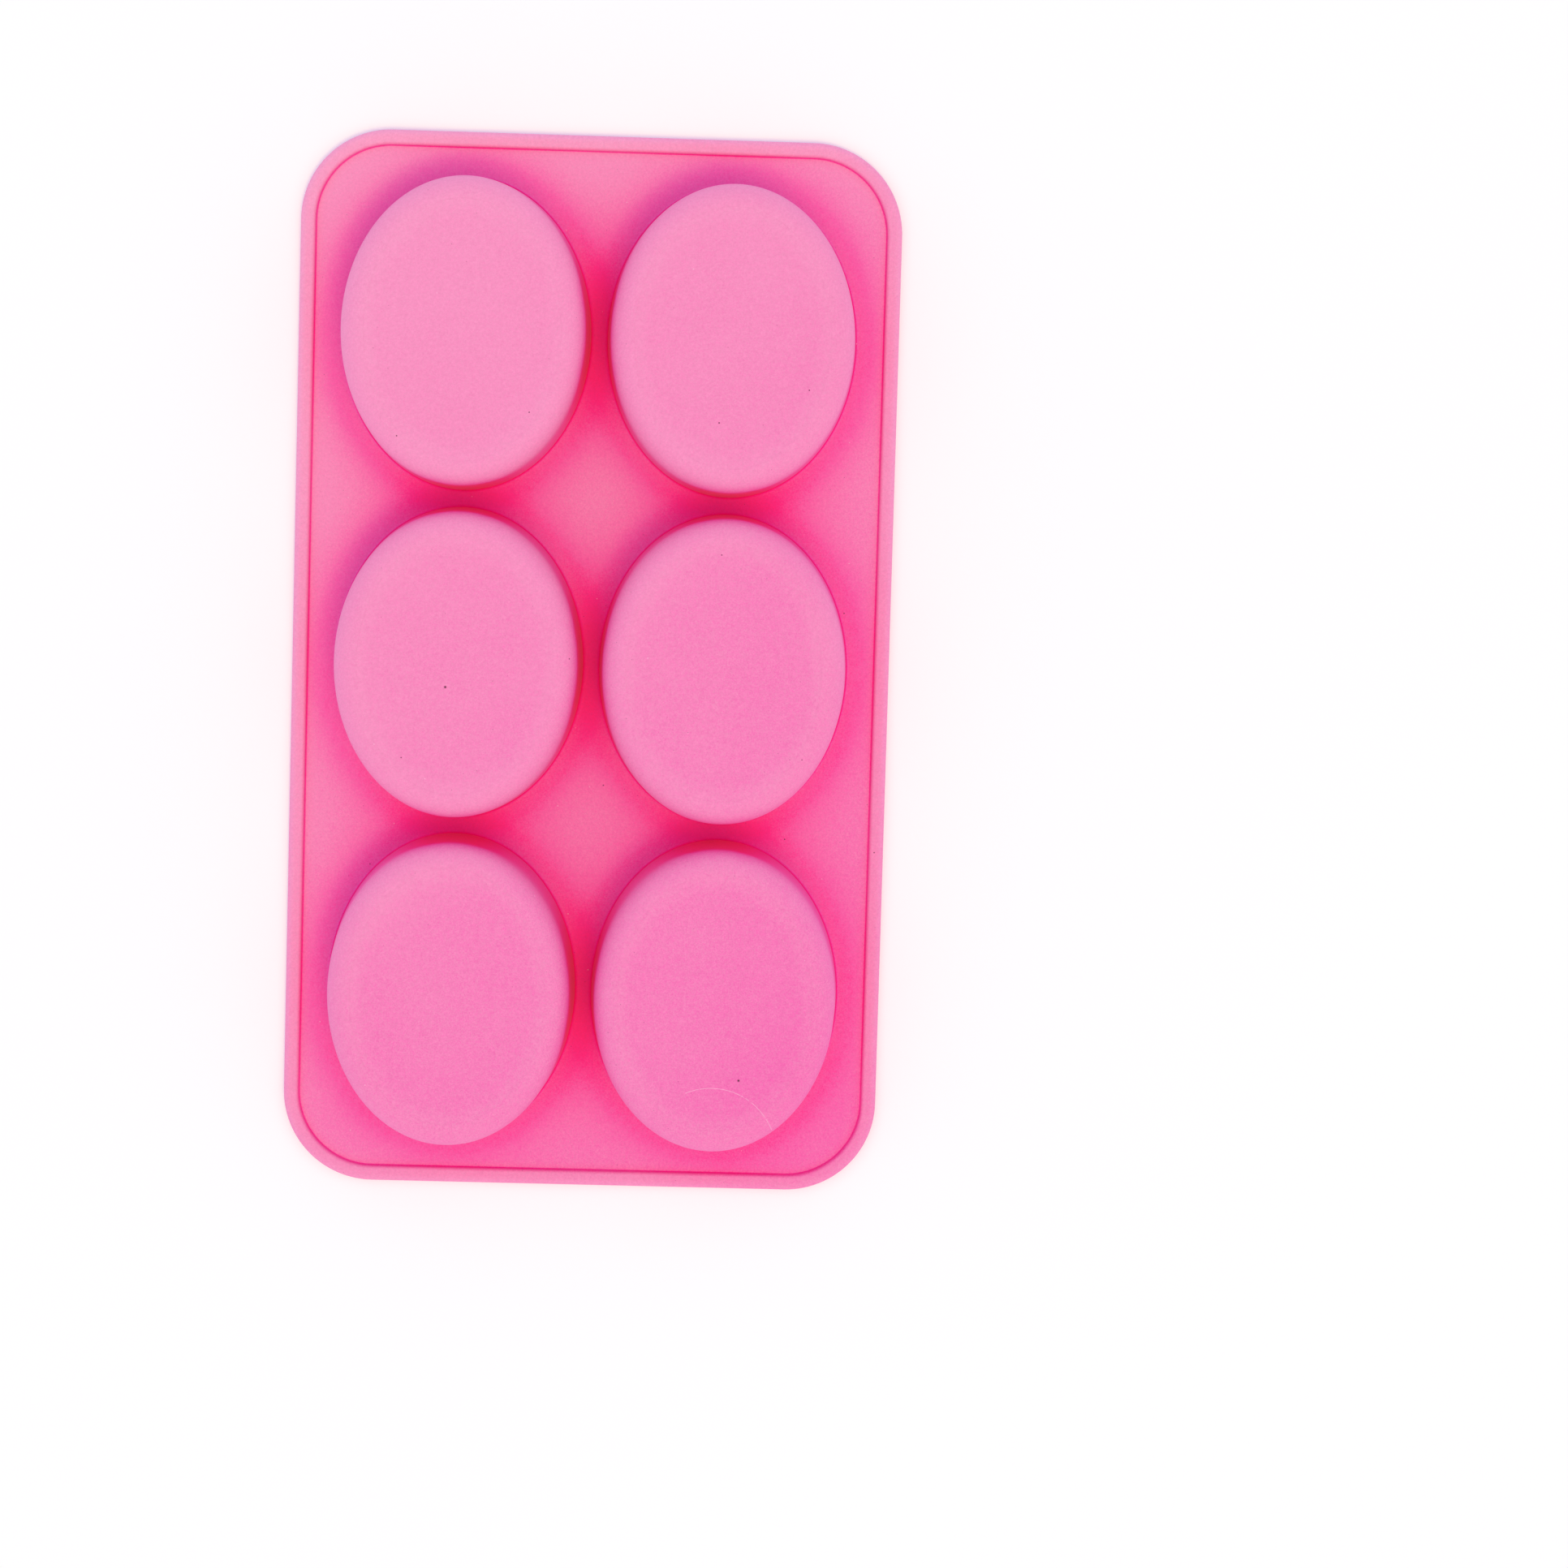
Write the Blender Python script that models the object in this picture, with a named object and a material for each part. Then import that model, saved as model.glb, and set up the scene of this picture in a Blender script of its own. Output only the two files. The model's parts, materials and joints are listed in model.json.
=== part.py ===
"""Silicone soap mould with six oval cups, lying open face down, so that the cups stand up.

Metres, +Z up. The origin is the middle of the open face, which is the plane z = 0.
+X runs across the mould and +Y along it, towards the back. The mould is one rubber
moulding in life. Here it is divided where the rubber bends: at the two flexing webs
between the rows of cups, and round each cup's floor, which a thumb pushes through.
"""

import math

import bmesh
import bpy

# Overall size
WIDTH = 0.159
LENGTH = 0.280
HEIGHT = 0.025
CORNER_RADIUS = 0.024
GAP = 0.0003

# Edge bead and deck sheet
BEAD_WIDTH = 0.004
BEAD_HEIGHT = 0.004
BEAD_SIDE = 0.0014
DECK_THICKNESS = 0.002

# Flexing webs between the rows of cups
FLEX_GAP = 0.001
FLEX_AXIS_Z = DECK_THICKNESS / 2

# Cups: half width and half length are taken where the side wall meets the shoulder
PITCH_X = 0.0702
PITCH_Y = 0.087
HALF_WIDTH = 0.0319
HALF_LENGTH = 0.0402
WALL = 0.002
SHOULDER = 0.006
DRAFT = math.radians(3.4)
FLOOR_THICKNESS = 0.002

# Facets
OVAL_SIDES = 40
CORNER_STEPS = 6
SHOULDER_STEPS = 3
BEAD_STEPS = 5
SMOOTH_UNDER = math.radians(35)

FLEX_Y = PITCH_Y / 2
SHOULDER_Z = HEIGHT - SHOULDER
UNDER_FLOOR_Z = HEIGHT - FLOOR_THICKNESS
ROWS = {"back": 1, "middle": 0, "front": -1}
COLUMNS = {"left": -1, "right": 1}

RIM_PINK = (0.93, 0.28, 0.52)
DECK_PINK = (0.85, 0.14, 0.38)
WALL_PINK = (0.80, 0.10, 0.33)
FLOOR_PINK = (0.94, 0.27, 0.51)


def clear_scene():
    for obj in list(bpy.data.objects):
        bpy.data.objects.remove(obj, do_unlink=True)


def silicone(name, color):
    """Soft matt pink rubber."""
    material = bpy.data.materials.new(name)
    material.use_nodes = True
    shader = material.node_tree.nodes["Principled BSDF"]
    shader.inputs["Base Color"].default_value = (*color, 1.0)
    shader.inputs["Roughness"].default_value = 0.5
    shader.inputs["Metallic"].default_value = 0.0
    return material


def make_object(name, bm, color, parent, origin):
    """Turns a bmesh drawn in world coordinates into an object whose origin is at the given point."""
    for vert in bm.verts:
        vert.co.x -= origin[0]
        vert.co.y -= origin[1]
        vert.co.z -= origin[2]
    bmesh.ops.recalc_face_normals(bm, faces=bm.faces)
    mesh = bpy.data.meshes.new(name)
    bm.to_mesh(mesh)
    bm.free()
    mesh.shade_smooth()
    mesh.set_sharp_from_angle(angle=SMOOTH_UNDER)
    obj = bpy.data.objects.new(name, mesh)
    obj.data.materials.append(silicone(name + "_silicone", color))
    bpy.context.scene.collection.objects.link(obj)
    obj.parent = parent
    obj.location = [origin[i] - parent.location[i] for i in range(3)]
    return obj


def flex_frame(name, y):
    """An empty that carries one row of cups, on the axis that the row bends about."""
    frame = bpy.data.objects.new(name, None)
    frame.location = (0.0, y, FLEX_AXIS_Z)
    bpy.context.scene.collection.objects.link(frame)
    return frame


def add_loop(bm, points):
    return [bm.verts.new(point) for point in points]


def join_loops(bm, first, second, closed):
    """Quads between two loops with the same number of points."""
    count = len(first)
    last = count if closed else count - 1
    for i in range(last):
        j = (i + 1) % count
        bm.faces.new((first[i], first[j], second[j], second[i]))


def oval(center, grow, z):
    """One level of a cup: the shoulder's oval made larger by grow all round."""
    points = []
    for i in range(OVAL_SIDES):
        angle = 2 * math.pi * i / OVAL_SIDES
        x = center[0] + (HALF_WIDTH + grow) * math.cos(angle)
        y = center[1] + (HALF_LENGTH + grow) * math.sin(angle)
        points.append((x, y, z))
    return points


def draft_at(z):
    """How far the side wall has spread, at height z, from its width at the shoulder."""
    return (SHOULDER_Z - z) * math.tan(DRAFT)


def shoulder_curve(radius):
    """(grow, z) down a quarter circle, from the floor's edge to the top of the side wall."""
    curve = []
    for step in range(SHOULDER_STEPS + 1):
        angle = math.pi / 2 * (1 - step / SHOULDER_STEPS)
        grow = radius * math.cos(angle) - SHOULDER
        curve.append((grow, SHOULDER_Z + radius * math.sin(angle)))
    return curve


def cup_wall(name, center, parent):
    """Side wall and shoulder, a ring that is open below and that leaves room for the floor above."""
    outside = shoulder_curve(SHOULDER)
    outside.append((draft_at(0.0), 0.0))
    inside = shoulder_curve(SHOULDER - WALL)
    inside.append((draft_at(0.0) - WALL, 0.0))
    profile = outside + inside[::-1]
    bm = bmesh.new()
    loops = [add_loop(bm, oval(center, grow, z)) for grow, z in profile]
    for i, loop in enumerate(loops):
        join_loops(bm, loop, loops[(i + 1) % len(loops)], closed=True)
    return make_object(name, bm, WALL_PINK, parent, (*center, 0.0))


def cup_floor(name, center, parent):
    """Flat oval floor, which slides down the cup's own axis."""
    grow = -SHOULDER - GAP
    bm = bmesh.new()
    low = add_loop(bm, oval(center, grow, UNDER_FLOOR_Z))
    high = add_loop(bm, oval(center, grow, HEIGHT))
    join_loops(bm, low, high, closed=True)
    bm.faces.new(low)
    bm.faces.new(high)
    return make_object(name, bm, FLOOR_PINK, parent, (*center, UNDER_FLOOR_Z))


def end_path(inset, side):
    """Open path round the back or front end, inset from the outer edge. side is 1 at the back, -1 at the front."""
    half_width = WIDTH / 2 - inset
    half_length = LENGTH / 2 - inset
    radius = CORNER_RADIUS - inset
    web = FLEX_Y + FLEX_GAP / 2
    path = [(half_width, web)]
    for corner in (1, -1):
        for step in range(CORNER_STEPS + 1):
            angle = math.pi / 2 * step / CORNER_STEPS
            if corner == -1:
                angle += math.pi / 2
            x = corner * (half_width - radius) + radius * math.cos(angle)
            y = half_length - radius + radius * math.sin(angle)
            path.append((x, y))
    path.append((-half_width, web))
    return [(side * x, side * y) for x, y in path]


def side_path(inset, side):
    """Straight path along the middle row, on the right (side 1) or the left (side -1)."""
    x = WIDTH / 2 - inset
    web = FLEX_Y - FLEX_GAP / 2
    return [(side * x, -side * web), (side * x, side * web)]


def bead_profile():
    """(inset, z) round the bead: flat below, upright outside and half round above."""
    profile = [(0.0, 0.0)]
    for step in range(BEAD_STEPS + 1):
        angle = math.pi * (1 - step / BEAD_STEPS)
        inset = BEAD_WIDTH / 2 * (1 + math.cos(angle))
        z = BEAD_SIDE + (BEAD_HEIGHT - BEAD_SIDE) * math.sin(angle)
        profile.append((inset, z))
    profile.append((BEAD_WIDTH, 0.0))
    return profile


def rim(name, path_at, side, parent):
    """One stretch of the edge bead, swept along a path that is drawn for each inset."""
    bm = bmesh.new()
    lines = []
    for inset, z in bead_profile():
        lines.append(add_loop(bm, [(x, y, z) for x, y in path_at(inset, side)]))
    for i, line in enumerate(lines):
        join_loops(bm, line, lines[(i + 1) % len(lines)], closed=False)
    bm.faces.new([line[0] for line in lines])
    bm.faces.new([line[-1] for line in lines])
    return make_object(name, bm, RIM_PINK, parent, tuple(parent.location))


def oval_cutter(name, center, parent):
    """A tall oval body that leaves the running gap round a cup's foot."""
    bm = bmesh.new()
    grow = draft_at(0.0) + GAP
    low = add_loop(bm, oval(center, grow, -DECK_THICKNESS))
    high = add_loop(bm, oval(center, grow, 2 * DECK_THICKNESS))
    join_loops(bm, low, high, closed=True)
    bm.faces.new(low)
    bm.faces.new(high)
    cutter = make_object(name, bm, DECK_PINK, parent, (*center, 0.0))
    cutter.hide_render = True
    cutter.display_type = "WIRE"
    return cutter


def deck(name, outline, row, parent):
    """One row of the deck sheet, with an oval opening for each cup's foot."""
    bm = bmesh.new()
    face = bm.faces.new(add_loop(bm, [(x, y, 0.0) for x, y in outline]))
    raised = bmesh.ops.extrude_face_region(bm, geom=[face])
    for item in raised["geom"]:
        if isinstance(item, bmesh.types.BMVert):
            item.co.z = DECK_THICKNESS
    sheet = make_object(name, bm, DECK_PINK, parent, tuple(parent.location))
    for column, side in COLUMNS.items():
        cut = sheet.modifiers.new("opening_" + column, "BOOLEAN")
        cut.operation = "DIFFERENCE"
        cut.solver = "EXACT"
        cut.object = oval_cutter(name + "_cut_" + column, cup_center(row, side), parent)
    return sheet


def cup_center(row, side):
    return (side * PITCH_X / 2, row * PITCH_Y)


def middle_outline(inset):
    """The deck outline of the middle row, round both sides."""
    return side_path(inset, 1) + side_path(inset, -1)


def build():
    clear_scene()
    frames = {
        "back": flex_frame("tray_back_axis", FLEX_Y),
        "middle": flex_frame("tray_middle_axis", 0.0),
        "front": flex_frame("tray_front_axis", -FLEX_Y),
    }
    deck_inset = BEAD_WIDTH + GAP
    rim("rim_back", end_path, 1, frames["back"])
    rim("rim_right", side_path, 1, frames["middle"])
    rim("rim_left", side_path, -1, frames["middle"])
    rim("rim_front", end_path, -1, frames["front"])
    deck("deck_back", end_path(deck_inset, 1), ROWS["back"], frames["back"])
    deck("deck_middle", middle_outline(deck_inset), ROWS["middle"], frames["middle"])
    deck("deck_front", end_path(deck_inset, -1), ROWS["front"], frames["front"])
    for row_name, row in ROWS.items():
        for column_name, side in COLUMNS.items():
            cup = "cup_" + row_name + "_" + column_name
            center = cup_center(row, side)
            cup_wall(cup + "_wall", center, frames[row_name])
            cup_floor(cup + "_floor", center, frames[row_name])


build()
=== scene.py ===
import json
import math

import bmesh
import bpy
import numpy as np
from mathutils import Matrix, Vector, noise
from mathutils.geometry import delaunay_2d_cdt


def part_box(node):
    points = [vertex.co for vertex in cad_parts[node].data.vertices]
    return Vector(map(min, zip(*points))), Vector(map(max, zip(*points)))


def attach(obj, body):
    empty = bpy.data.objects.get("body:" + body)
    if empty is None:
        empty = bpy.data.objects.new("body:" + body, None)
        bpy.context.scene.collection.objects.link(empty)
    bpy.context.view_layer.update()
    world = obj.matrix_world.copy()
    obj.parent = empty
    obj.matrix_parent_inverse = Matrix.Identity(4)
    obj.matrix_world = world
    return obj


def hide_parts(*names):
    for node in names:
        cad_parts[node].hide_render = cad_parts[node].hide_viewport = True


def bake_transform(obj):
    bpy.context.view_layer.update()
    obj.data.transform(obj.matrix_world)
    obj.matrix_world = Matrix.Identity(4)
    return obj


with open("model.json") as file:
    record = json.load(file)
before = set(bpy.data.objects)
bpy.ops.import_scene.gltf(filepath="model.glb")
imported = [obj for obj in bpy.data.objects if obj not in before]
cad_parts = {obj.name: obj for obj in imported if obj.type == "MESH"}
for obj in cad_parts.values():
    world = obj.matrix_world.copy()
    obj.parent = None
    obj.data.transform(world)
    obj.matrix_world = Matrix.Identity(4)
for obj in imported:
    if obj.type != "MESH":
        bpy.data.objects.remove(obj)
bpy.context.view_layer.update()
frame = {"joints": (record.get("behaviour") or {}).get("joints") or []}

MM = 0.001
SAME_PLACE = 1e-7

# ---------------------------------------------------------------- sizes from the CAD frame
HALF_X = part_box("rim_right")[1].x
HALF_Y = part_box("rim_back")[1].y
DECK_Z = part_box("deck_middle")[1].z
UNDER_Z, TOP_Z = (corner.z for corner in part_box("cup_back_left_floor"))
JOINTS = {joint["name"]: joint for joint in frame["joints"]}
FLEX_Y = JOINTS["back_flex"]["pos_m"][1]

ROWS = ("back", "middle", "front")
COLUMNS = ("left", "right")

# ---------------------------------------------------------------- sizes of the visible shape
CORNER_RADIUS = 24 * MM
WALL = 2 * MM
SHOULDER = 6 * MM
RUNNING_GAP = 0.3 * MM
DRAFT = math.radians(3.4)
SHOULDER_Z = TOP_Z - SHOULDER
FOOT_FILLET = 1.0 * MM
MOUTH_ROUND = 1.0 * MM
MOUTH_FLAT = 0.15 * MM
BEAD_EDGE = 3.9 * MM
FLAT_RING = 0.3 * MM
SEAM = 0.01 * MM

# Half width of the strip that bends at each web, and how many lines of points cross each half of it
FLEX_REACH = 1.0 * MM
FLEX_LINES = 5
FLEX_CLEAR = 0.4 * MM

# The fold round each floor: its width and thickness, and how far it keeps from the faces around it
FOLD_WIDTH = 6.8 * MM
FOLD_SHEET = 0.25 * MM
FOLD_TOP = 0.05 * MM
FOLD_BOTTOM = 0.35 * MM
FOLD_TUCK = 0.1 * MM

# The thin floors sag and ripple a little below their edges, and are painted a little paler near the
# shoulder: a painted highlight where the crest catches the light
FLOOR_UNDULATION = 0.15 * MM
UNDULATION_SCALE = 45
UNDULATION_SLICE = 0.7
SAG_RISE = 4
CREST_FADE = 6

# ---------------------------------------------------------------- mesh density
SIDES = 240
SIDE_STEPS = 80
CORNER_STEPS = 28
END_STEPS = 76
WEB_STEPS = 100
FILL_STEP = 2.3 * MM
FILL_SHIFT = (0.37, 0.41)
FLOOR_RINGS = 24
FLOOR_LIP = 0.99
FOLD_RINGS = 24
SHOULDER_STEPS = 12
INNER_STEPS = 10
MOUTH_STEPS = 6
ROUND_STEPS = 6

# Heights of the rings up the outer side wall and, coming back, down the inner one, in mm
OUTER_LEVELS = (0, 1, 2, 2.6, 3.2, 4.5, 6.5, 9, 12, 15, 17.5)
INNER_LEVELS = (16, 12, 8, 5, 3, 1.6)
OUTSIDE_RINGS = len(OUTER_LEVELS) + SHOULDER_STEPS + 2

# Edges sharper than this stay crisp in the shading
SHARP_ABOVE = math.radians(40)

# Tone along the colour ramp, from the deepest crease to the pale crown of the bead. The deep tones are
# painted shade in creases and between the cups; the pale crest and crown are painted light
TONE_CREASE = 0.02
TONE_LINE = 0.17
TONE_OUTWARD = 0.32
TONE_UNDER = 0.45
TONE_TOP = 0.59
TONE_DECK = 0.64
TONE_CREST = 0.66
TONE_RIM = 0.80

# Painted light across the mould, paler towards the back left and deeper towards the front right: tone per
# metre across, along and up, and its level at the middle
PAINTED_LIGHT_SLOPE = (-0.95, 0.95, 0.0)
PAINTED_LIGHT_LEVEL = -0.035

# Painted shade: the deck is painted deeper the nearer the cups are. Where that levels out, its fall-off
# length, its strength, the share of it that grows evenly and not with the square, and the cup's spread at
# its foot
CLOSE_FROM = 3.3 * MM
CLOSE_REACH = 5.6 * MM
CLOSE_DEPTH = 1.7
CLOSE_EVEN = 0.6
CUP_SPREAD = 2.0 * MM
FACING_CLOSE, FACING_OPEN = 0.17, 0.45

# Where the pale crown of the bead ends (painted light), the dark line at its foot, and the dark ring round
# a cup's foot (both painted shade)
RIM_PALE_TO, RIM_FADE = 3.1 * MM, 0.9 * MM
LINE_INSET, LINE_WIDTH = 4.05 * MM, 0.24 * MM
FAR_FROM_BEAD = 1.0
FOOT_DEEP = 0.5 * MM

# Heights between which a wall's painted shade pales into painted light over the shoulder, where it faces a
# cup and where it faces outward
PALER_FROM, PALER_FROM_OUTWARD, PALER_TO = 17.4 * MM, 12.0 * MM, 24.6 * MM


def smooth_step(value):
    """0 below 0, 1 above 1, and smooth between."""
    value = min(1.0, max(0.0, value))
    return value * value * (3 - 2 * value)


def cup_name(row, column):
    return "cup_" + row + "_" + column


def cup_center(row, column):
    low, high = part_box(cup_name(row, column) + "_wall")
    return ((low.x + high.x) / 2, (low.y + high.y) / 2)


def cup_halves():
    """Half width and half length of every cup where its side wall meets the shoulder."""
    low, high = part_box(cup_name("back", "left") + "_floor")
    inset = SHOULDER + RUNNING_GAP
    return ((high.x - low.x) / 2 + inset, (high.y - low.y) / 2 + inset)


HALF_WIDTH, HALF_LENGTH = cup_halves()


def draft_at(z):
    """How far the side wall has spread at height z."""
    return (SHOULDER_Z - z) * math.tan(DRAFT)


def oval(center, grow, first=0, last=None):
    """(x, y) points round a cup, first to last of SIDES. Those on the seam between the halves get y = 0."""
    count = SIDES if last is None else last + 1
    points = []
    for i in range(first, count):
        angle = 2 * math.pi * i / SIDES
        x = center[0] + (HALF_WIDTH + grow) * math.cos(angle)
        y = center[1] + (HALF_LENGTH + grow) * math.sin(angle)
        if abs(y) < SAME_PLACE:
            y = 0.0
        points.append((x, y))
    return points


# ---------------------------------------------------------------- material
RAMP = (
    (0.00, (0.97, 0.0005, 0.195)),
    (0.14, (0.96, 0.021, 0.310)),
    (0.30, (0.940, 0.120, 0.440)),
    (0.60, (0.950, 0.262, 0.515)),
    (1.00, (0.960, 0.370, 0.590)),
)
SPECK_COLOR = (0.10, 0.012, 0.035, 1)
FLECK_COLOR = (1.0, 0.66, 0.80, 1)

# Noise from broad clouds to fine powder: scale per metre, detail, roughness
CLOUD = (28.0, 3.0, 0.55)
MOTTLE = (520.0, 4.0, 0.70)
GRAIN = (2700.0, 2.0, 0.70)
POWDER = (1500.0, 2.0, 0.75)
BREAKS = (170.0, 3.0, 0.70)

# How far each noise shifts the tone, and how far the powder changes the brightness
CLOUD_SHIFT, MOTTLE_SHIFT, GRAIN_SHIFT = 0.20, 0.20, 0.55
POWDER_SHIFT, POWDER_LEVEL = 0.26, 0.995

# Deep tones vary less than pale ones, and the painted light across the mould changes them less
PAINTED_LIGHT_GAIN = 2.8
SPREAD_GAIN, SPREAD_LEAST = 1.2, 0.16

# Scattered marks: cells per metre, radius, share of the cells, strength
SPECKS = (95.0, 0.24 * MM, 0.55, 0.8)
FAINT_SPECKS = (310.0, 0.17 * MM, 0.5, 0.35)
LINT = (210.0, 0.22 * MM, 0.35, 0.4)

# A scattered mark is solid to this share of its radius. A placed mark ends at this many radii, and
# is solid to one radius less.
SPOT_CORE = 0.55
MARK_REACH = 1.4

# Surface of the rubber
IOR = 1.41
SPECULAR = 0.25
SHEEN = 0.06
SHEEN_ROUGH = 0.5
SHEEN_TINT = (0.80, 0.84, 1.0, 1)
ROUGH_LEAST, ROUGH_MOST = 0.50, 0.68
BUMP_STRENGTH, BUMP_HEIGHT = 0.35, 0.05 * MM

# What the roughness and the bump take from each noise, and how much the dark marks stand out
ROUGH_CLOUD = 0.5
BUMP_MOTTLE = 0.6
BUMP_MARKS = 0.5

# One long curved hair scratch on the front right cup
SCRATCH_CENTER = (0.0, -39.7 * MM)
SCRATCH_RADIUS = 17.2 * MM
SCRATCH_WIDTH = 0.13 * MM
SCRATCH_FROM = -7.0 * MM
SCRATCH_ABOVE = 5.0 * MM
SCRATCH_STRENGTH = 0.5
SCRATCH_GAPS = 0.40

# Dark marks that show clearly: cup, place on its floor, radius
MARKS = (
    (("middle", "left"), (-2.3 * MM, -5.7 * MM), 0.34 * MM),
    (("front", "right"), (6.9 * MM, -20.3 * MM), 0.32 * MM),
    (("back", "right"), (-3.0 * MM, -22.0 * MM), 0.22 * MM),
)


def node(tree, kind, **values):
    made = tree.nodes.new(kind)
    for key, value in values.items():
        setattr(made, key, value)
    return made


def math_node(tree, operation, first, second=None, clamp=False):
    """A Math node whose inputs are sockets or numbers."""
    made = node(tree, "ShaderNodeMath", operation=operation, use_clamp=clamp)
    for slot, value in enumerate((first, second)):
        if value is None:
            continue
        if isinstance(value, (int, float)):
            made.inputs[slot].default_value = value
        else:
            tree.links.new(value, made.inputs[slot])
    return made.outputs[0]


def noise_at(tree, place, scale, detail=2.0, rough=0.5):
    """Noise from 0 to 1 at a place on the mould."""
    made = node(tree, "ShaderNodeTexNoise", noise_dimensions="3D")
    made.inputs["Scale"].default_value = scale
    made.inputs["Detail"].default_value = detail
    made.inputs["Roughness"].default_value = rough
    tree.links.new(place, made.inputs["Vector"])
    return made.outputs["Fac"]


def weighted(tree, first, share, second):
    """Two values added in shares that make 1."""
    scaled = math_node(tree, "MULTIPLY", first, share)
    return math_node(tree, "ADD", scaled, math_node(tree, "MULTIPLY", second, 1 - share))


def shift_by(tree, value, amount):
    """A noise turned into a shift round zero."""
    return math_node(tree, "MULTIPLY", math_node(tree, "SUBTRACT", value, 0.5), amount)


def spots_at(tree, place, scale, radius, chosen, strength):
    """Small round marks: full strength in a mark and 0 outside, for the chosen share of the cells."""
    cells = node(tree, "ShaderNodeTexVoronoi", voronoi_dimensions="3D", feature="F1")
    cells.inputs["Scale"].default_value = scale
    tree.links.new(place, cells.inputs["Vector"])
    edge = node(tree, "ShaderNodeMapRange", interpolation_type="SMOOTHSTEP")
    edge.inputs["From Min"].default_value = radius * scale * SPOT_CORE
    edge.inputs["From Max"].default_value = radius * scale
    edge.inputs["To Min"].default_value = 1.0
    edge.inputs["To Max"].default_value = 0.0
    tree.links.new(cells.outputs["Distance"], edge.inputs["Value"])
    parts = node(tree, "ShaderNodeSeparateColor")
    tree.links.new(cells.outputs["Color"], parts.inputs["Color"])
    picked = math_node(tree, "LESS_THAN", parts.outputs["Red"], chosen)
    marks = math_node(tree, "MULTIPLY", edge.outputs["Result"], picked)
    return math_node(tree, "MULTIPLY", marks, strength)


def mix_color(tree, factor, first, second):
    """Mixes two colours, each given as a socket or as a value."""
    made = node(tree, "ShaderNodeMix", data_type="RGBA")
    tree.links.new(factor, made.inputs["Factor"])
    for socket, value in ((made.inputs[6], first), (made.inputs[7], second)):
        if isinstance(value, tuple):
            socket.default_value = value
        else:
            tree.links.new(value, socket)
    return made.outputs[2]


def scratch_at(tree, place):
    """The hair scratch as a factor, along one arc of a circle round a point on the cup."""
    center = cup_center("front", "right")
    parts = node(tree, "ShaderNodeSeparateXYZ")
    tree.links.new(place, parts.inputs["Vector"])
    x = math_node(tree, "SUBTRACT", parts.outputs["X"], center[0] + SCRATCH_CENTER[0])
    y = math_node(tree, "SUBTRACT", parts.outputs["Y"], center[1] + SCRATCH_CENTER[1])
    squares = math_node(tree, "ADD", math_node(tree, "POWER", x, 2.0), math_node(tree, "POWER", y, 2.0))
    away = math_node(tree, "SUBTRACT", math_node(tree, "SQRT", squares), SCRATCH_RADIUS)
    share = math_node(tree, "DIVIDE", math_node(tree, "ABSOLUTE", away), SCRATCH_WIDTH)
    line = math_node(tree, "SUBTRACT", 1.0, share, clamp=True)
    broken = math_node(tree, "GREATER_THAN", noise_at(tree, place, *BREAKS), SCRATCH_GAPS)
    above = math_node(tree, "GREATER_THAN", parts.outputs["Z"], TOP_Z - SHOULDER / 2)
    upper = math_node(tree, "GREATER_THAN", y, SCRATCH_ABOVE)
    right = math_node(tree, "GREATER_THAN", x, SCRATCH_FROM)
    kept = math_node(tree, "MULTIPLY", math_node(tree, "MULTIPLY", line, broken), above)
    return math_node(tree, "MULTIPLY", kept, math_node(tree, "MULTIPLY", upper, right))


def mark_at(tree, place, cup, offset, radius):
    """One round dark mark on a cup's floor."""
    center = cup_center(*cup)
    away = node(tree, "ShaderNodeVectorMath", operation="DISTANCE")
    tree.links.new(place, away.inputs[0])
    away.inputs[1].default_value = (center[0] + offset[0], center[1] + offset[1], TOP_Z)
    share = math_node(tree, "DIVIDE", away.outputs["Value"], radius)
    return math_node(tree, "SUBTRACT", MARK_REACH, share, clamp=True)


def base_color(tree, place, cloud, mottle, grain):
    """The rubber's pink along the ramp: the vertex tone with its painted shade and light, shifted by
    painted light across the mould and varied by noise.
    """
    tone = node(tree, "ShaderNodeAttribute", attribute_name="tone").outputs["Fac"]
    shift = shift_by(tree, cloud, CLOUD_SHIFT)
    shift = math_node(tree, "ADD", shift, shift_by(tree, mottle, MOTTLE_SHIFT))
    shift = math_node(tree, "ADD", shift, shift_by(tree, grain, GRAIN_SHIFT))
    # Painted light: paler towards the back left, deeper towards the front right
    slope_node = node(tree, "ShaderNodeVectorMath", operation="DOT_PRODUCT")
    tree.links.new(place, slope_node.inputs[0])
    slope_node.inputs[1].default_value = PAINTED_LIGHT_SLOPE
    painted_light = math_node(tree, "ADD", slope_node.outputs["Value"], PAINTED_LIGHT_LEVEL)
    gain = math_node(tree, "MULTIPLY", math_node(tree, "POWER", tone, 2.0), PAINTED_LIGHT_GAIN)
    painted_light = math_node(tree, "MULTIPLY", painted_light, math_node(tree, "MINIMUM", gain, 1.0))
    spread = math_node(tree, "MULTIPLY", tone, SPREAD_GAIN)
    spread = math_node(tree, "ADD", spread, SPREAD_LEAST, clamp=True)
    shifted = math_node(tree, "ADD", tone, math_node(tree, "MULTIPLY", shift, spread))
    shifted = math_node(tree, "ADD", shifted, painted_light, clamp=True)
    ramp = node(tree, "ShaderNodeValToRGB")
    stops = ramp.color_ramp.elements
    stops[0].color = (*RAMP[0][1], 1)
    stops[1].color = (*RAMP[-1][1], 1)
    for position, color in RAMP[1:-1]:
        stops.new(position).color = (*color, 1)
    tree.links.new(shifted, ramp.inputs["Fac"])
    return ramp.outputs["Color"]


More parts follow.
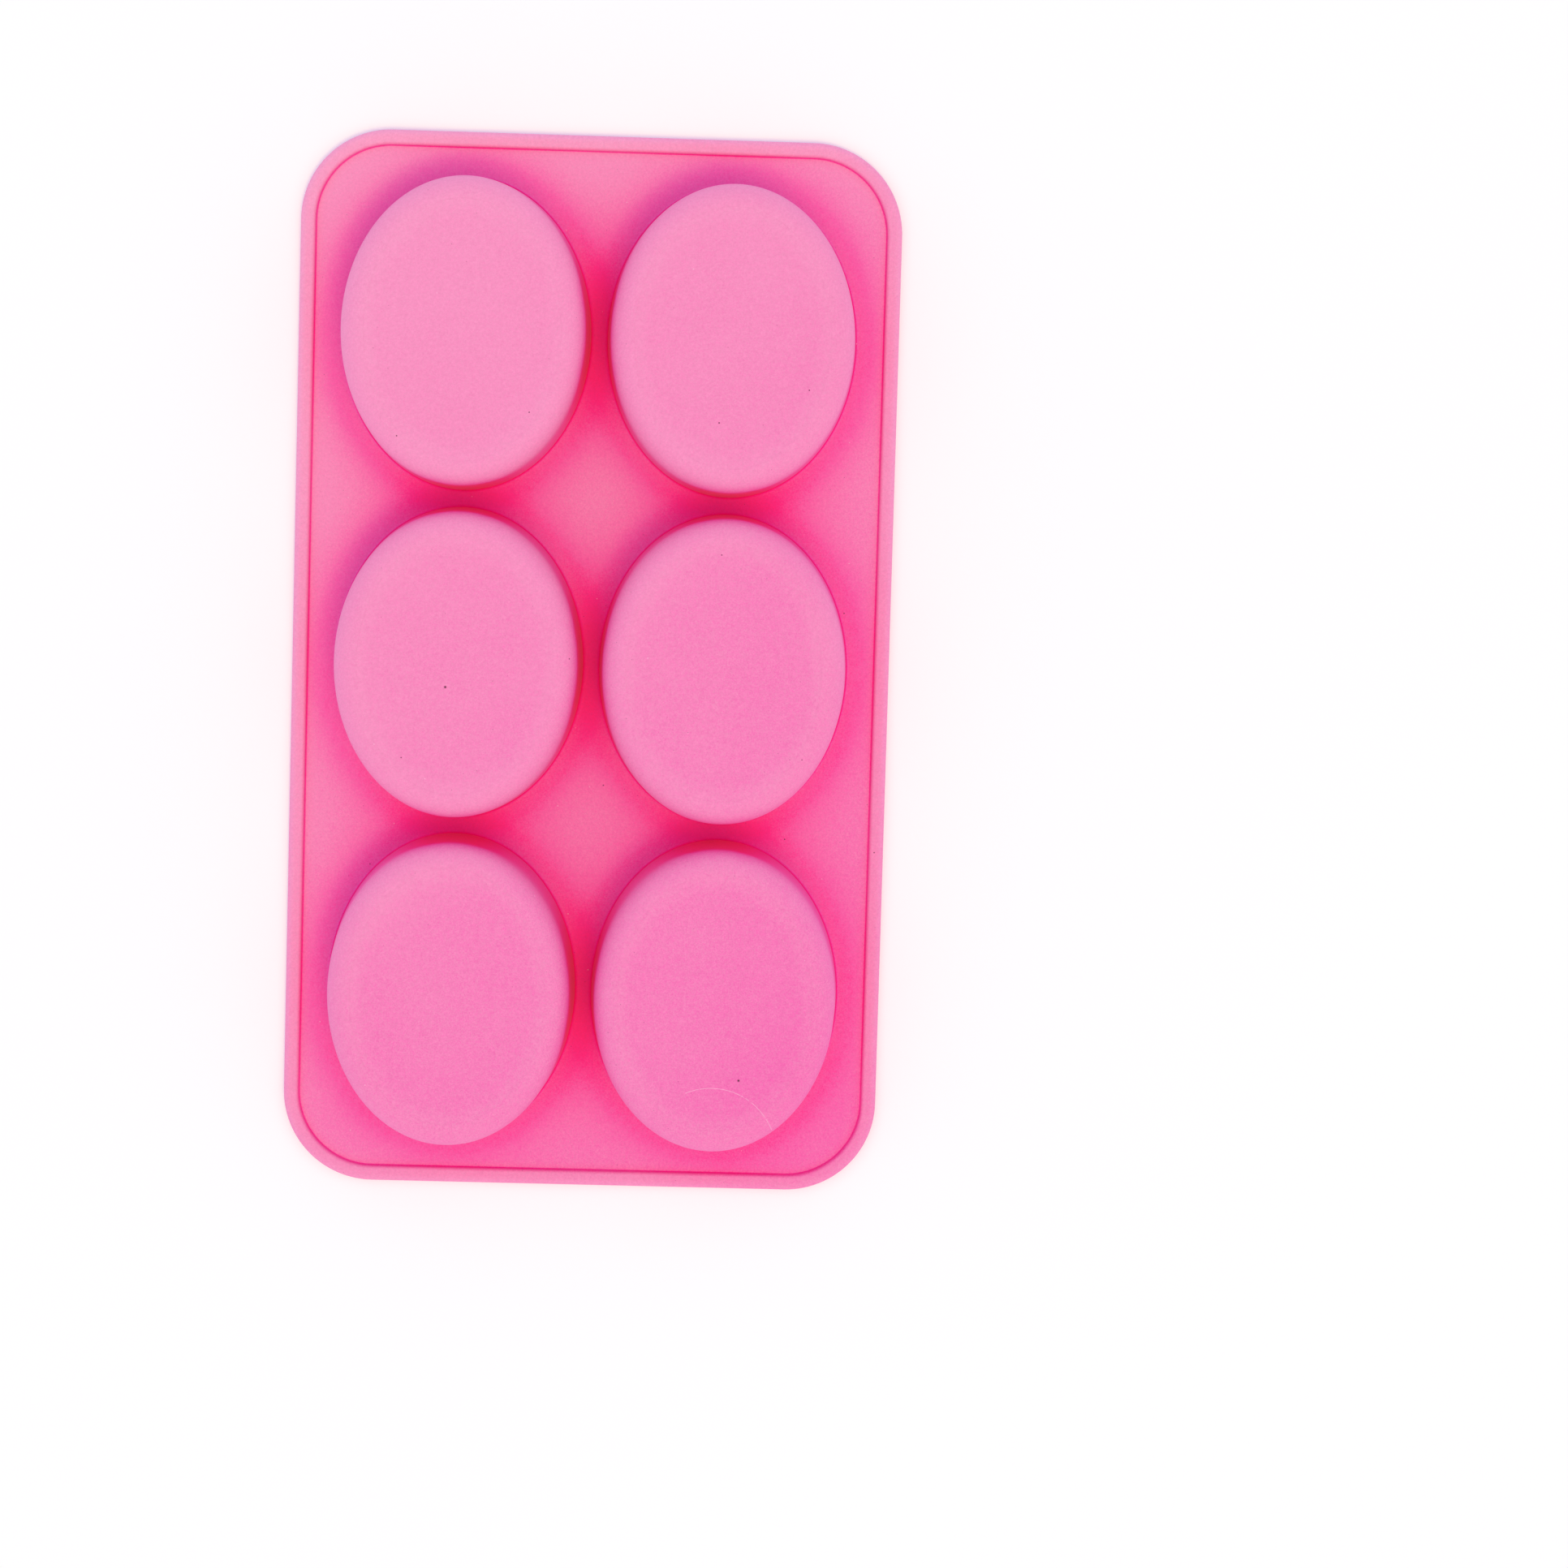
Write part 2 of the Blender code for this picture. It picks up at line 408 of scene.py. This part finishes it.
def dark_marks(tree, place):
    """All the dark specks as one factor."""
    dark = math_node(tree, "MAXIMUM", spots_at(tree, place, *SPECKS), spots_at(tree, place, *FAINT_SPECKS))
    for cup, offset, radius in MARKS:
        dark = math_node(tree, "MAXIMUM", dark, mark_at(tree, place, cup, offset, radius))
    return dark


def pale_marks(tree, place):
    """Lint and the scratch as one factor."""
    scratch = math_node(tree, "MULTIPLY", scratch_at(tree, place), SCRATCH_STRENGTH)
    return math_node(tree, "MAXIMUM", spots_at(tree, place, *LINT), scratch)


def powdered(tree, place, color):
    """The colour, brighter and darker by a fine powdery noise."""
    powder = shift_by(tree, noise_at(tree, place, *POWDER), POWDER_SHIFT)
    scaled = node(tree, "ShaderNodeVectorMath", operation="SCALE")
    tree.links.new(color, scaled.inputs[0])
    tree.links.new(math_node(tree, "ADD", powder, POWDER_LEVEL), scaled.inputs["Scale"])
    return scaled.outputs["Vector"]


def silicone_material():
    """Matt pink silicone: painted shade deep in the creases and between the cups, painted light on crests
    and across the mould, mottled, grained, with specks, lint and a scratch.
    """
    material = bpy.data.materials.new("pink_silicone")
    material.use_nodes = True
    tree = material.node_tree
    shader = tree.nodes["Principled BSDF"]
    place = node(tree, "ShaderNodeAttribute", attribute_name="rest_place").outputs["Vector"]
    cloud = noise_at(tree, place, *CLOUD)
    mottle = noise_at(tree, place, *MOTTLE)
    grain = noise_at(tree, place, *GRAIN)
    dark = dark_marks(tree, place)

    color = base_color(tree, place, cloud, mottle, grain)
    color = mix_color(tree, dark, color, SPECK_COLOR)
    color = mix_color(tree, pale_marks(tree, place), color, FLECK_COLOR)
    tree.links.new(powdered(tree, place, color), shader.inputs["Base Color"])

    rough = node(tree, "ShaderNodeMapRange")
    rough.inputs["To Min"].default_value = ROUGH_LEAST
    rough.inputs["To Max"].default_value = ROUGH_MOST
    tree.links.new(weighted(tree, cloud, ROUGH_CLOUD, mottle), rough.inputs["Value"])
    tree.links.new(rough.outputs["Result"], shader.inputs["Roughness"])

    height = weighted(tree, mottle, BUMP_MOTTLE, grain)
    height = math_node(tree, "ADD", height, math_node(tree, "MULTIPLY", dark, BUMP_MARKS))
    bump = node(tree, "ShaderNodeBump")
    bump.inputs["Strength"].default_value = BUMP_STRENGTH
    bump.inputs["Distance"].default_value = BUMP_HEIGHT
    tree.links.new(height, bump.inputs["Height"])
    tree.links.new(bump.outputs["Normal"], shader.inputs["Normal"])

    shader.inputs["Metallic"].default_value = 0.0
    shader.inputs["IOR"].default_value = IOR
    shader.inputs["Specular IOR Level"].default_value = SPECULAR
    shader.inputs["Sheen Weight"].default_value = SHEEN
    shader.inputs["Sheen Roughness"].default_value = SHEEN_ROUGH
    shader.inputs["Sheen Tint"].default_value = SHEEN_TINT
    return material


SILICONE = silicone_material()


# ---------------------------------------------------------------- mesh helpers
def finish_piece(name, bm, tones):
    """Makes the object, smooth where it is round. The texture reads the rest places kept on its points,
    so that it moves with the rubber."""
    bmesh.ops.recalc_face_normals(bm, faces=bm.faces)
    mesh = bpy.data.meshes.new(name)
    bm.to_mesh(mesh)
    bm.free()
    mesh.shade_smooth()
    mesh.set_sharp_from_angle(angle=SHARP_ABOVE)
    places = np.array([v.co for v in mesh.vertices], np.float32)
    kept = mesh.attributes.new("rest_place", "FLOAT_VECTOR", "POINT")
    kept.data.foreach_set("vector", places.ravel())
    tone = mesh.attributes.new("tone", "FLOAT", "POINT")
    tone.data.foreach_set("value", np.array(tones, np.float32))
    mesh.materials.append(SILICONE)
    piece = bpy.data.objects.new(name, mesh)
    bpy.context.scene.collection.objects.link(piece)
    return piece


def close_rings(bm, loops):
    """Quads between each loop of points and the next, and from the last back to the first."""
    for k, loop in enumerate(loops):
        following = loops[(k + 1) % len(loops)]
        for i in range(len(loop)):
            j = (i + 1) % len(loop)
            bm.faces.new((loop[i], loop[j], following[j], following[i]))


# ---------------------------------------------------------------- cups
CENTERS = {(row, column): cup_center(row, column) for row in ROWS for column in COLUMNS}


def clear_share(spots):
    """How clear of the cups each point of the deck is: near 0 between two cups and 1 far from all. The
    deck's tone is multiplied by it, as painted shade near and between the cups.
    """
    spots = np.array(spots, float)
    closeness = np.zeros(len(spots))
    for center in CENTERS.values():
        away = spots - center
        level = np.hypot(away[:, 0] / (HALF_WIDTH + CUP_SPREAD), away[:, 1] / (HALF_LENGTH + CUP_SPREAD))
        distance = np.hypot(away[:, 0], away[:, 1]) * (1 - 1 / level)
        closeness += np.exp(-np.maximum(distance, CLOSE_FROM) / CLOSE_REACH)
    return np.exp(-CLOSE_DEPTH * closeness * (CLOSE_EVEN + (1 - CLOSE_EVEN) * closeness))


def wall_tone(z, opened):
    """Painted shade and light: the side wall is painted deep where it faces another cup, and pales over the
    shoulder.
    """
    low = TONE_CREASE + (TONE_OUTWARD - TONE_CREASE) * opened
    start = PALER_FROM + (PALER_FROM_OUTWARD - PALER_FROM) * opened
    up = smooth_step((z - start) / (PALER_TO - start))
    return low + (TONE_CREST - low) * up


def faces_open(center):
    """For each side of a cup's wall, 0 where another cup stands close by and 1 where none does."""
    shares = clear_share(oval(center, CUP_SPREAD))
    return np.clip((shares - FACING_CLOSE) / (FACING_OPEN - FACING_CLOSE), 0, 1)


def wall_profile():
    """(grow, z) once round the wall's section, the outside first."""
    profile = []
    for z in OUTER_LEVELS:
        profile.append((draft_at(z * MM), z * MM))
    for step in range(SHOULDER_STEPS + 1):
        angle = DRAFT + (math.pi / 2 - DRAFT) * step / SHOULDER_STEPS
        profile.append((SHOULDER * math.cos(angle) - SHOULDER, SHOULDER_Z + SHOULDER * math.sin(angle)))
    edge = -SHOULDER - FLAT_RING
    profile.append((edge, TOP_Z))
    profile.append((edge, UNDER_Z))
    inner = SHOULDER - WALL
    for step in range(INNER_STEPS + 1):
        angle = math.pi / 2 * (1 - step / INNER_STEPS)
        profile.append((inner * math.cos(angle) - SHOULDER, SHOULDER_Z + inner * math.sin(angle)))
    for z in INNER_LEVELS:
        profile.append((draft_at(z * MM) - WALL, z * MM))
    mouth = draft_at(MOUTH_ROUND) - WALL
    for step in range(MOUTH_STEPS + 1):
        angle = math.pi / 2 * step / MOUTH_STEPS
        grow = mouth + MOUTH_ROUND * (1 - math.cos(angle))
        profile.append((grow, MOUTH_ROUND * (1 - math.sin(angle))))
    profile.append((mouth + MOUTH_ROUND + MOUTH_FLAT, 0.0))
    return profile


def make_wall(row, column):
    center = cup_center(row, column)
    bm = bmesh.new()
    loops, tones = [], []
    opened = faces_open(center)
    for k, (grow, z) in enumerate(wall_profile()):
        loops.append([bm.verts.new((x, y, z)) for x, y in oval(center, grow)])
        # Painted shade on the wall where it faces other cups, painted light over the shoulder
        tones += [wall_tone(z, share) if k < OUTSIDE_RINGS else TONE_UNDER for share in opened]
    close_rings(bm, loops)
    piece = finish_piece(cup_name(row, column) + "_wall_skin", bm, tones)
    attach(piece, "tray_" + row)
    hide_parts(cup_name(row, column) + "_wall")


def sunk(x, y):
    """How far the thin floor sags below its edge, as a share of its greatest sag."""
    wave = noise.noise(Vector((x * UNDULATION_SCALE, y * UNDULATION_SCALE, UNDULATION_SLICE)))
    return 0.5 + 0.5 * wave


def make_floor(row, column):
    center = cup_center(row, column)
    grow = -SHOULDER - FLAT_RING - SEAM
    rim = oval(center, grow)
    shares = [1.0, FLOOR_LIP] + [1 - k / FLOOR_RINGS for k in range(1, FLOOR_RINGS)]
    bm = bmesh.new()
    sides, tones = [], []
    for flat_z in (TOP_Z, UNDER_Z):
        loops = []
        for share in shares:
            loop = []
            for x, y in rim:
                px = center[0] + (x - center[0]) * share
                py = center[1] + (y - center[1]) * share
                depth = FLOOR_UNDULATION * sunk(px, py) * smooth_step((1 - share) * SAG_RISE)
                loop.append(bm.verts.new((px, py, flat_z - depth)))
            loops.append(loop)
            # Painted highlight: paler near the edge, where the shoulder's crest catches the light
            tones += [TONE_CREST + (TONE_TOP - TONE_CREST) * smooth_step((1 - share) * CREST_FADE)] * SIDES
        depth = FLOOR_UNDULATION * sunk(*center)
        middle = bm.verts.new((*center, flat_z - depth))
        tones.append(TONE_TOP)
        for loop, following in zip(loops, loops[1:]):
            for i in range(SIDES):
                j = (i + 1) % SIDES
                bm.faces.new((loop[i], loop[j], following[j], following[i]))
        for i in range(SIDES):
            bm.faces.new((loops[-1][i], loops[-1][(i + 1) % SIDES], middle))
        sides.append(loops[0])
    for i in range(SIDES):
        j = (i + 1) % SIDES
        bm.faces.new((sides[0][i], sides[0][j], sides[1][j], sides[1][i]))
    piece = finish_piece(cup_name(row, column) + "_floor_skin", bm, tones)
    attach(piece, "floor_" + row + "_" + column)
    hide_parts(cup_name(row, column) + "_floor")


def make_fold(row, column):
    """The ring of rubber round the floor, which in the mould stretches into a funnel when the floor is
    pushed in.
    It lies hidden inside the floor's thickness."""
    center = cup_center(row, column)
    start_z = TOP_Z - FOLD_TOP
    end_z = UNDER_Z + FOLD_BOTTOM
    outer = -SHOULDER - FLAT_RING + FOLD_TUCK
    bm = bmesh.new()
    upper, lower = [], []
    for step in range(FOLD_RINGS + 1):
        share = step / FOLD_RINGS
        z = start_z + (end_z - start_z) * share
        ring = oval(center, outer - FOLD_WIDTH * share)
        upper.append([bm.verts.new((x, y, z)) for x, y in ring])
    for step in range(FOLD_RINGS + 1):
        share = 1 - step / FOLD_RINGS
        z = start_z + (end_z - start_z) * share - FOLD_SHEET
        ring = oval(center, outer - FOLD_WIDTH * share)
        lower.append([bm.verts.new((x, y, z)) for x, y in ring])
    close_rings(bm, upper + lower)
    piece = finish_piece(cup_name(row, column) + "_fold", bm, [TONE_CREST] * len(bm.verts))
    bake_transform(piece)


# ---------------------------------------------------------------- deck and bead
# The bead's section in mm: upright outer side, round shoulder, sloping crown, round inner side, fillet.
# A pair is a width and a height, or an inset from the outer edge and a height.
BEAD_SIDE_Z = 2.6
BEAD_OUTER = (1.4, 1.3)
BEAD_CROWN = [(1.9, 3.87), (2.4, 3.79)]
BEAD_INNER_START = (2.8, 3.70)
BEAD_INNER = (1.05, 0.95)
BEAD_INNER_SWEEP = math.radians(85)
BEAD_FOOT = 4.32
BEAD_FILLET = 0.4
BEAD_STEPS = 8
DECK_TOP = 2.0
DECK_INSETS = (4.45, 4.9, 6.0)

# The bead's underside in mm, and the fillet round a cup's foot
EDGE_ROUND = 0.4
EDGE_STEPS = 4
UNDER_INSETS = (0.6, 6.0)
FOOT_STEPS = 8
FOOT_TUCK = 0.1 * MM
FOOT_INSIDE = 0.05 * MM
FOOT_PULL = 0.015 * MM
FOOT_FLAT = 0.12 * MM
FOOT_BELOW = 0.5 * MM


def bead_section():
    """(inset, z) over the bead, from its outer side to the deck."""
    section = []
    across, up = BEAD_OUTER
    for step in range(BEAD_STEPS + 1):
        angle = math.pi / 2 * step / BEAD_STEPS
        section.append((across * (1 - math.cos(angle)), BEAD_SIDE_Z + up * math.sin(angle)))
    section += BEAD_CROWN
    inner_x, inner_z = BEAD_INNER_START
    across, down = BEAD_INNER
    for step in range(BEAD_STEPS):
        angle = BEAD_INNER_SWEEP * step / (BEAD_STEPS - 1)
        section.append((inner_x + across * math.sin(angle), inner_z - down * (1 - math.cos(angle))))
    for step in range(1, ROUND_STEPS + 1):
        angle = math.pi / 2 * step / ROUND_STEPS
        z = DECK_TOP + BEAD_FILLET * (1 - math.sin(angle))
        section.append((BEAD_FOOT - BEAD_FILLET * math.cos(angle), z))
    section += [(inset, DECK_TOP) for inset in DECK_INSETS]
    return [(inset * MM, z * MM) for inset, z in section]


def under_section():
    """(inset, z) under the bead, from its outer side to the flat underside."""
    section = []
    for step in range(EDGE_STEPS + 1):
        angle = math.pi / 2 * step / EDGE_STEPS
        section.append((EDGE_ROUND * (1 - math.cos(angle)), EDGE_ROUND * (1 - math.sin(angle))))
    section += [(inset, 0.0) for inset in UNDER_INSETS]
    return [(inset * MM, z * MM) for inset, z in section]


def foot_section():
    """(grow, z) of the fillet at a cup's foot, from inside the wall down to the deck."""
    high = DECK_Z + FOOT_FILLET
    section = [(draft_at(high + FOOT_TUCK) - FOOT_INSIDE, high + FOOT_TUCK)]
    middle = draft_at(high) + FOOT_FILLET - FOOT_PULL
    for step in range(FOOT_STEPS + 1):
        angle = math.pi / 2 * step / FOOT_STEPS
        section.append((middle - FOOT_FILLET * math.cos(angle), high - FOOT_FILLET * math.sin(angle)))
    section.append((middle + FOOT_FLAT, DECK_Z))
    return section


def side_stations():
    """y of the points along the straight side, with a close set across the flexing web."""
    straight_y = HALF_Y - CORNER_RADIUS
    clear = FLEX_REACH + FLEX_CLEAR
    even = [straight_y * k / SIDE_STEPS for k in range(SIDE_STEPS)]
    return sorted([y for y in even if abs(y - FLEX_Y) > clear] + web_stations())


def web_stations():
    """y of the lines across the flexing web, so that it bends evenly."""
    return [FLEX_Y + FLEX_REACH * k / FLEX_LINES for k in range(-FLEX_LINES, FLEX_LINES + 1)]


def half_outline(inset):
    """The outer edge for y >= 0, inset from it, from the right side round the end to the left side."""
    straight_y = HALF_Y - CORNER_RADIUS
    straight_x = HALF_X - CORNER_RADIUS
    radius = CORNER_RADIUS - inset
    points = [(HALF_X - inset, y) for y in side_stations()]
    for k in range(CORNER_STEPS):
        angle = math.pi / 2 * k / CORNER_STEPS
        points.append((straight_x + radius * math.cos(angle), straight_y + radius * math.sin(angle)))
    half = END_STEPS // 2
    points += [(straight_x * (1 - k / half), HALF_Y - inset) for k in range(half)]
    points.append((0.0, HALF_Y - inset))
    return points + [(-x, y) for x, y in points[-2::-1]]


HALF_CUPS = [("back", "left"), ("back", "right"), ("middle", "left"), ("middle", "right")]


def foot_ring(cup, grow):
    """A ring round one cup's foot: all of it in the end row, and the half with y >= 0 in the middle row."""
    if cup[0] == "back":
        return oval(CENTERS[cup], grow)
    return oval(CENTERS[cup], grow, 0, SIDES // 2)


def within(polygon, spots):
    """Which spots lie inside a polygon."""
    polygon = np.array(polygon)
    found = np.zeros(len(spots), bool)
    for (x1, y1), (x2, y2) in zip(polygon, np.roll(polygon, -1, axis=0)):
        crosses = (y1 > spots[:, 1]) != (y2 > spots[:, 1])
        if crosses.any():
            at = (x2 - x1) * (spots[:, 1] - y1) / (y2 - y1) + x1
            found ^= crosses & (spots[:, 0] < at)
    return found


class Layer:
    """The upper or the lower surface of one half: points, faces and tones, with strips round the edge
    and round each cup's foot, and flat rubber between them."""

    def __init__(self, bm, side, flat_z, tones):
        self.bm = bm
        self.side = side
        self.flat_z = flat_z
        self.tones = tones
        self.on_seam = []

    def point(self, x, y, z, tone):
        vert = self.bm.verts.new((x, self.side * y, z))
        self.tones.append(tone)
        if y == 0.0:
            self.on_seam.append((x, vert))
        return vert

    def strips(self, rings, closed):
        """Quads between neighbouring rings of (path, z, tone). Returns the first and the last ring."""
        made = [[self.point(x, y, z, tone) for x, y in path] for path, z, tone in rings]
        for first, second in zip(made, made[1:]):
            for i in range(len(first) if closed else len(first) - 1):
                j = (i + 1) % len(first)
                self.bm.faces.new((first[i], first[j], second[j], second[i]))
        return made[0], made[-1]

    def flat(self, outline, holes, tone):
        """Fills between the outline and the holes, each given as (path, points), across the web's lines."""
        places, verts, edges = [], [], []

        def add(path, made, closed):
            start, count = len(places), len(path)
            places.extend(path)
            verts.extend(made)
            for i in range(count if closed else count - 1):
                edges.append((start + i, start + (i + 1) % count))

        add(*outline, False)
        for path, made in holes:
            add(path, made, len(path) == SIDES)
        reach = max(x for x, _ in outline[0])
        for y in web_stations():
            count = WEB_STEPS
            path = [(reach * (2 * i / count - 1), y) for i in range(count + 1)]
            add(path, [None] * len(path), False)
        step = FILL_STEP
        for i in range(-int(HALF_X / step), int(HALF_X / step) + 1):
            for k in range(1, int(HALF_Y / step)):
                add([((i + FILL_SHIFT[0]) * step, (k + FILL_SHIFT[1]) * step)], [None], False)
        result = delaunay_2d_cdt([Vector(place) for place in places], edges, [], 0, SAME_PLACE, True)
        made_at, triangles, sources = result[0], result[2], result[3]
        spots = np.array([(v.x, v.y) for v in made_at])
        triangles = np.array(triangles)
        centers = spots[triangles].mean(axis=1)
        keep = within(outline[0], centers)
        for path, _ in holes:
            keep &= ~within(path, centers)
        found = {}
        for index, source in enumerate(sources):
            known = [verts[i] for i in source if verts[i] is not None]
            if known:
                found[index] = known[0]
        for triangle in triangles[keep]:
            corners = []
            for index in triangle:
                index = int(index)
                if index not in found:
                    x, y = made_at[index]
                    found[index] = self.point(float(x), float(y), self.flat_z, tone)
                corners.append(found[index])
            self.bm.faces.new(corners)


def crease(distance, width):
    """1 in the middle of a fine line and 0 away from it."""
    return math.exp(-((distance / width) ** 2))


def bead_tone(inset):
    """Painted light and shade: pale on the bead's crown, and painted shade deep in the line at its foot."""
    on_bead = 1 - smooth_step((inset - RIM_PALE_TO) / RIM_FADE)
    base = TONE_DECK + (TONE_RIM - TONE_DECK) * on_bead
    return base + (TONE_LINE - base) * crease(inset - LINE_INSET, LINE_WIDTH)


def foot_tone(z):
    """Painted shade: deep round each cup's foot."""
    return TONE_DECK + (TONE_CREASE - TONE_DECK) * smooth_step((z - DECK_Z) / FOOT_DEEP)


def make_layer(bm, side, edge_section, foot, flat_z, tones, edge_tone, ring_tone):
    """One surface of a half. Returns it, its outer edge and its ring round each opening."""
    layer = Layer(bm, side, flat_z, tones)
    rings = [(half_outline(inset), z, edge_tone(inset)) for inset, z in edge_section]
    outer, last = layer.strips(rings, False)
    openings, holes = {}, []
    for cup in HALF_CUPS:
        paths = [(foot_ring(cup, grow), z, ring_tone(z)) for grow, z in foot]
        openings[cup], outside = layer.strips(paths, cup[0] == "back")
        holes.append((paths[-1][0], outside))
    layer.flat((rings[-1][0], last), holes, edge_tone(FAR_FROM_BEAD))
    return layer, outer, openings


def seam_spans(openings):
    """The stretches of the seam at y = 0 that are rubber: the two margins and the web between columns."""
    rings = [ring for cup, ring in openings.items() if cup[0] == "middle"]
    gaps = sorted(sorted((ring[0].co.x, ring[-1].co.x)) for ring in rings)
    ends = [-HALF_X] + [x for gap in gaps for x in gap] + [HALF_X]
    return list(zip(ends[0::2], ends[1::2]))


def make_sheet(row, side):
    """The deck and bead of one half of the mould, with close lines of points across that half's web.
    side is 1 for the back half and -1 for the front half, its mirror image."""
    bm = bmesh.new()
    tones = []
    top, top_edge, top_rings = make_layer(
        bm, side, bead_section(), foot_section(), DECK_Z, tones, bead_tone, foot_tone)
    foot_out = draft_at(0.0)
    low, low_edge, low_rings = make_layer(
        bm, side, under_section(), [(foot_out, 0.0), (foot_out + FOOT_BELOW, 0.0)], 0.0, tones,
        lambda inset: TONE_UNDER, lambda z: TONE_UNDER)
    for i in range(len(top_edge) - 1):
        bm.faces.new((top_edge[i], top_edge[i + 1], low_edge[i + 1], low_edge[i]))
    for cup, upper in top_rings.items():
        lower = low_rings[cup]
        for i in range(SIDES if cup[0] == "back" else SIDES // 2):
            j = (i + 1) % len(upper)
            bm.faces.new((upper[i], upper[j], lower[j], lower[i]))
    near = SAME_PLACE
    for (left, right), (low_left, low_right) in zip(seam_spans(top_rings), seam_spans(low_rings)):
        over = [spot for spot in top.on_seam if left - near <= spot[0] <= right + near]
        under = [spot for spot in low.on_seam if low_left - near <= spot[0] <= low_right + near]
        over.sort(key=lambda spot: spot[0])
        under.sort(key=lambda spot: -spot[0])
        bm.faces.new([vert for _, vert in over + under])
    # Painted shade: the deck's tone deepens near and between the cups
    places = np.array([vert.co for vert in bm.verts])
    edge = np.minimum(HALF_X - np.abs(places[:, 0]), HALF_Y - np.abs(places[:, 1]))
    on_deck = (places[:, 2] > DECK_Z / 2) & (edge > BEAD_EDGE)
    shares = np.where(on_deck, clear_share(places[:, :2]), 1.0)
    tones = np.array(tones) * shares
    piece = finish_piece("tray_skin_" + row, bm, tones)
    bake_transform(piece)
    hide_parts("deck_" + row, "rim_" + row, "deck_middle", "rim_left", "rim_right")


for row_name in ROWS:
    for column_name in COLUMNS:
        make_wall(row_name, column_name)
        make_floor(row_name, column_name)
        make_fold(row_name, column_name)
make_sheet("back", 1)
make_sheet("front", -1)


# ---------------------------------------------------------------- studio floor and light
KEY_TILT = math.radians(18)
KEY_SIDE = Vector((0.45, -0.89, 0)).normalized()
KEY_STRENGTH = 0.80
KEY_COLOR = (1.0, 0.97, 0.22)
KEY_ANGLE = math.radians(22)
SKY_COLOR = (0.80, 0.787, 1.0, 1)
SKY_STRENGTH = 0.95
FLOOR_GLOW = 0.07
FLOOR_REACH = 3.0
FLOOR_DROP = 0.05 * MM
FLOOR_CLOUDS = 3.0
FLOOR_ROUGH = 0.9
FLOOR_IOR = 1.2
FLOOR_COLORS = ((0.93, 0.93, 0.93, 1), (0.96, 0.96, 0.96, 1))


def pale_floor():
    """A plain pale floor just under the open face."""
    mesh = bpy.data.meshes.new("studio_floor")
    signs = [(-1, -1), (1, -1), (1, 1), (-1, 1)]
    corners = [(x * FLOOR_REACH, y * FLOOR_REACH, -FLOOR_DROP) for x, y in signs]
    mesh.from_pydata(corners, [], [(0, 1, 2, 3)])
    material = bpy.data.materials.new("pale_floor")
    material.use_nodes = True
    tree = material.node_tree
    shader = tree.nodes["Principled BSDF"]
    place = node(tree, "ShaderNodeTexCoord").outputs["Object"]
    color = mix_color(tree, noise_at(tree, place, FLOOR_CLOUDS), *FLOOR_COLORS)
    tree.links.new(color, shader.inputs["Base Color"])
    shader.inputs["Roughness"].default_value = FLOOR_ROUGH
    shader.inputs["IOR"].default_value = FLOOR_IOR
    shader.inputs["Emission Color"].default_value = (1, 1, 1, 1)
    shader.inputs["Emission Strength"].default_value = FLOOR_GLOW
    mesh.materials.append(material)
    floor = bpy.data.objects.new("studio_floor", mesh)
    bpy.context.scene.collection.objects.link(floor)


def key_light():
    """A soft lamp high above the front, a little to the right."""
    data = bpy.data.lights.new("key", "SUN")
    data.energy = KEY_STRENGTH
    data.color = KEY_COLOR
    data.angle = KEY_ANGLE
    lamp = bpy.data.objects.new("key", data)
    towards = KEY_SIDE * math.sin(KEY_TILT) + Vector((0, 0, math.cos(KEY_TILT)))
    lamp.rotation_mode = "QUATERNION"
    lamp.rotation_quaternion = (-towards).to_track_quat("-Z", "Y")
    bpy.context.scene.collection.objects.link(lamp)


def sky():
    """Even light from all round, slightly violet, which also tints the shadows."""
    world = bpy.data.worlds.new("studio")
    world.use_nodes = True
    background = world.node_tree.nodes["Background"]
    background.inputs["Color"].default_value = SKY_COLOR
    background.inputs["Strength"].default_value = SKY_STRENGTH
    bpy.context.scene.world = world


pale_floor()
key_light()
sky()
bpy.context.scene.view_settings.view_transform = "Standard"


# ---------------------------------------------------------------- camera
CAMERA_PLACE = Vector((0.0217, 0.04205, 1.000))
CAMERA_AIM = Vector((0.05247, -0.03044, 0.0))
CAMERA_ROLL = math.radians(1.677)
CAMERA_LENS = 85.72
SENSOR_WIDTH = 36.0
CLIP_START = 0.01


def camera():
    """Looks almost straight down, so it is turned by its axes."""
    data = bpy.data.cameras.new("camera")
    data.lens = CAMERA_LENS
    data.sensor_width = SENSOR_WIDTH
    data.clip_start = CLIP_START
    forward = (CAMERA_AIM - CAMERA_PLACE).normalized()
    up = Vector((0, 1, 0))
    up = (up - forward * up.dot(forward)).normalized()
    right = forward.cross(up)
    up = up * math.cos(CAMERA_ROLL) - right * math.sin(CAMERA_ROLL)
    right = forward.cross(up)
    turned = Matrix((right, up, -forward)).transposed().to_4x4()
    made = bpy.data.objects.new("camera", data)
    made.matrix_world = Matrix.Translation(CAMERA_PLACE) @ turned
    bpy.context.scene.collection.objects.link(made)
    bpy.context.scene.camera = made


camera()
